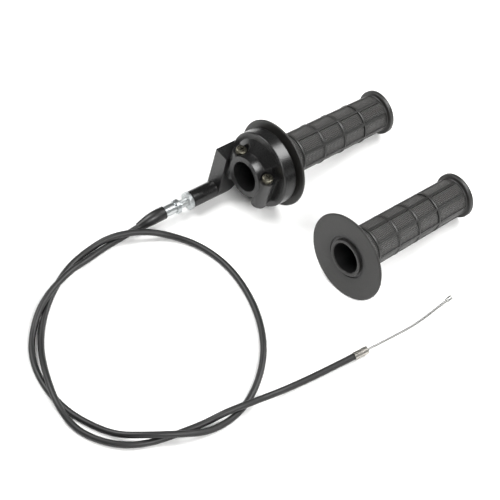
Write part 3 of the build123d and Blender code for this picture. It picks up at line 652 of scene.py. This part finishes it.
@dataclass
class Studio:
    """The floor, the soft lights and the camera."""

    floor_size: float = 6.0
    floor_drop: float = 0.0001
    glow_low: float = 0.8
    glow_high: float = 1.35
    lens: float = 174.9
    sensor: float = 36.0
    camera_place: tuple[float, float, float] = (-0.8094, -0.8327, 1.2604)
    camera_aim: tuple[float, float, float] = (-0.06416, 0.01841, 0.0)
    lamp_aim: tuple[float, float, float] = (-0.05, 0.0, 0.02)

    def build(self) -> None:
        """Builds the whole studio."""
        self.floor()
        self.lights()
        self.camera()

    def floor(self) -> None:
        """Lays a plain pale floor."""
        work = bmesh.new()
        bmesh.ops.create_grid(work, x_segments=1, y_segments=1, size=self.floor_size)
        mesh = bpy.data.meshes.new("floor")
        work.to_mesh(mesh)
        work.free()
        pale = bpy.data.materials.new("pale_floor")
        pale.use_nodes = True
        shader = pale.node_tree.nodes["Principled BSDF"]
        shader.inputs["Base Color"].default_value = linear("#fbfbfa")
        shader.inputs["Roughness"].default_value = 0.9
        mesh.materials.append(pale)
        floor = bpy.data.objects.new("floor", mesh)
        floor.location = (0, 0, -self.floor_drop)
        bpy.context.scene.collection.objects.link(floor)

    def lights(self) -> None:
        """Hangs soft boxes and sets the pale surroundings."""
        world = bpy.data.worlds.new("pale_room")
        world.use_nodes = True
        # Bright overhead and dimmer towards the horizon, as under a large soft box
        tree = world.node_tree
        heading = add_node(tree, "ShaderNodeTexCoord").outputs["Generated"]
        split = add_node(tree, "ShaderNodeSeparateXYZ", {"Vector": heading})
        rise = add_node(tree, "ShaderNodeMapRange", {"Value": split.outputs["Z"]})
        rise.inputs["From Min"].default_value = 0.05
        rise.inputs["From Max"].default_value = 0.75
        rise.inputs["To Min"].default_value = self.glow_low
        rise.inputs["To Max"].default_value = self.glow_high
        tree.links.new(rise.outputs["Result"], tree.nodes["Background"].inputs["Strength"])
        bpy.context.scene.world = world
        bpy.context.scene.view_settings.view_transform = "Standard"
        boxes = (
            ("key", (-0.5, 1.1, 1.6), 1.1, 34.0),
            ("fill", (1.2, -0.5, 1.3), 1.0, 34.0),
            ("front", (-0.5, -1.3, 1.3), 0.9, 30.0),
        )
        for name, place, size, power in boxes:
            data = bpy.data.lights.new(name, "AREA")
            data.size = size
            data.energy = power
            lamp = bpy.data.objects.new(name, data)
            lamp.location = place
            aim = Vector(self.lamp_aim) - Vector(place)
            lamp.rotation_euler = aim.to_track_quat("-Z", "Y").to_euler()
            bpy.context.scene.collection.objects.link(lamp)

    def camera(self) -> None:
        """Places the camera."""
        data = bpy.data.cameras.new("view")
        data.lens = self.lens
        data.sensor_width = self.sensor
        data.clip_start = 0.05
        data.clip_end = 20.0
        camera = bpy.data.objects.new("view", data)
        camera.location = self.camera_place
        aim = Vector(self.camera_aim) - camera.location
        camera.rotation_euler = aim.to_track_quat("-Z", "Y").to_euler()
        bpy.context.scene.collection.objects.link(camera)
        bpy.context.scene.camera = camera


TILT = math.atan2(32.3 - 16.4, 104.0 - 2.8)
LEFT_TILT = math.atan2(32.3 - 16.4, 110.0 - 2.8)
LEFT_YAW = math.radians(1.56)
SPLIT = math.radians(-11.5)
BAR_PLACE = Placement(
    (-17.34, 48.02, 32.229),
    (math.sin(SPLIT) * math.sin(TILT), -math.cos(SPLIT), math.sin(SPLIT) * math.cos(TILT)),
    (-math.cos(TILT), 0.0, math.sin(TILT)),
)
LEFT_PLACE = Placement(
    (-38.64, -51.48, 32.253),
    (math.sin(LEFT_YAW), -math.cos(LEFT_YAW), 0.0),
    (
        -math.cos(LEFT_TILT) * math.cos(LEFT_YAW),
        -math.cos(LEFT_TILT) * math.sin(LEFT_YAW),
        math.sin(LEFT_TILT),
    ),
)
SNOUT_PLACE = Placement(
    (-49.96254, 75.05782, 6.9263), BAR_PLACE.x_axis, (-0.99445407, 0.09873112, 0.03623913)
)


def along_snout(distance: float) -> tuple[float, float, float]:
    """A point on the snout's axis, in metres, at a distance in millimetres from the arm."""
    point = Vector(SNOUT_PLACE.origin) + Vector(SNOUT_PLACE.z_axis) * distance
    return tuple(point * MM)


# The cable's middle, point by point in metres: out of the cap, one and a half turns, then the ferrule
CABLE_ROUTE = (
    along_snout(38.0),
    along_snout(50.5),
    (-0.1125, 0.0831, 0.0044),
    (-0.1265, 0.0847, 0.0023),
    (-0.1415, 0.0851, 0.0023),
    (-0.1575, 0.0841, 0.0023),
    (-0.1755, 0.0806, 0.0073),
    (-0.2035, 0.0726, 0.0073),
    (-0.2225, 0.0606, 0.0023),
    (-0.239, 0.0416, 0.0023),
    (-0.248, 0.0176, 0.0023),
    (-0.25, -0.0089, 0.0023),
    (-0.245, -0.0309, 0.0023),
    (-0.2375, -0.0474, 0.0023),
    (-0.228, -0.0614, 0.0073),
    (-0.2095, -0.0764, 0.0073),
    (-0.1925, -0.0847, 0.0023),
    (-0.1745, -0.0879, 0.0023),
    (-0.1555, -0.0839, 0.0023),
    (-0.136, -0.0734, 0.0023),
    (-0.1175, -0.0574, 0.0023),
    (-0.1025, -0.0359, 0.0023),
    (-0.092, -0.0109, 0.0023),
    (-0.0863, 0.0161, 0.0023),
    (-0.0885, 0.0416, 0.0023),
    (-0.097, 0.0621, 0.0023),
    (-0.112, 0.0756, 0.0073),
    (-0.1325, 0.0871, 0.0073),
    (-0.1495, 0.0911, 0.0023),
    (-0.1695, 0.0881, 0.0023),
    (-0.19, 0.0786, 0.0023),
    (-0.21, 0.0646, 0.0023),
    (-0.2285, 0.0451, 0.0023),
    (-0.2425, 0.0211, 0.0073),
    (-0.253, -0.0039, 0.0073),
    (-0.255, -0.0239, 0.0023),
    (-0.25, -0.0424, 0.0023),
    (-0.239, -0.0584, 0.0023),
    (-0.223, -0.0684, 0.0023),
    (-0.2045, -0.0739, 0.0023),
    (-0.1875, -0.0784, 0.0023),
    (-0.1735, -0.0834, 0.0073),
    (-0.149, -0.0904, 0.0073),
    (-0.1275, -0.0924, 0.0023),
    (-0.0995, -0.0977, 0.0023),
    (-0.0691, -0.10257, 0.003),
)


def dress_cad() -> None:
    """Gives each CAD node that stays its finish."""
    for name, finish in CAD_FINISHES.items():
        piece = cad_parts[name]
        material = finish.material()
        if piece.material_slots:
            for place in piece.material_slots:
                place.material = material
        else:
            piece.data.materials.append(material)
        LOG.info("%s dressed", name)


def main() -> None:
    """Builds the studio, the cable, the grips and the adjuster, and dresses the rest."""
    logging.basicConfig(level=logging.INFO)
    Studio().build()
    ThrottleCable(CABLE_ROUTE).build()
    dress_cad()
    HandGrip(
        "throttle_grip_ribbed", BAR_PLACE, 104.0, 12.5, ("throttle_grip", "throttle_flange"), "throttle"
    ).build()
    HandGrip(
        "left_grip_ribbed",
        LEFT_PLACE,
        110.0,
        11.13,
        ("left_grip", "left_flange"),
        "left_grip",
        collar_rise=1.5,
    ).build()
    adjuster = AdjusterSet(SNOUT_PLACE)
    adjuster.build_adjuster()
    adjuster.build_nut()


if __name__ == "__main__":
    main()
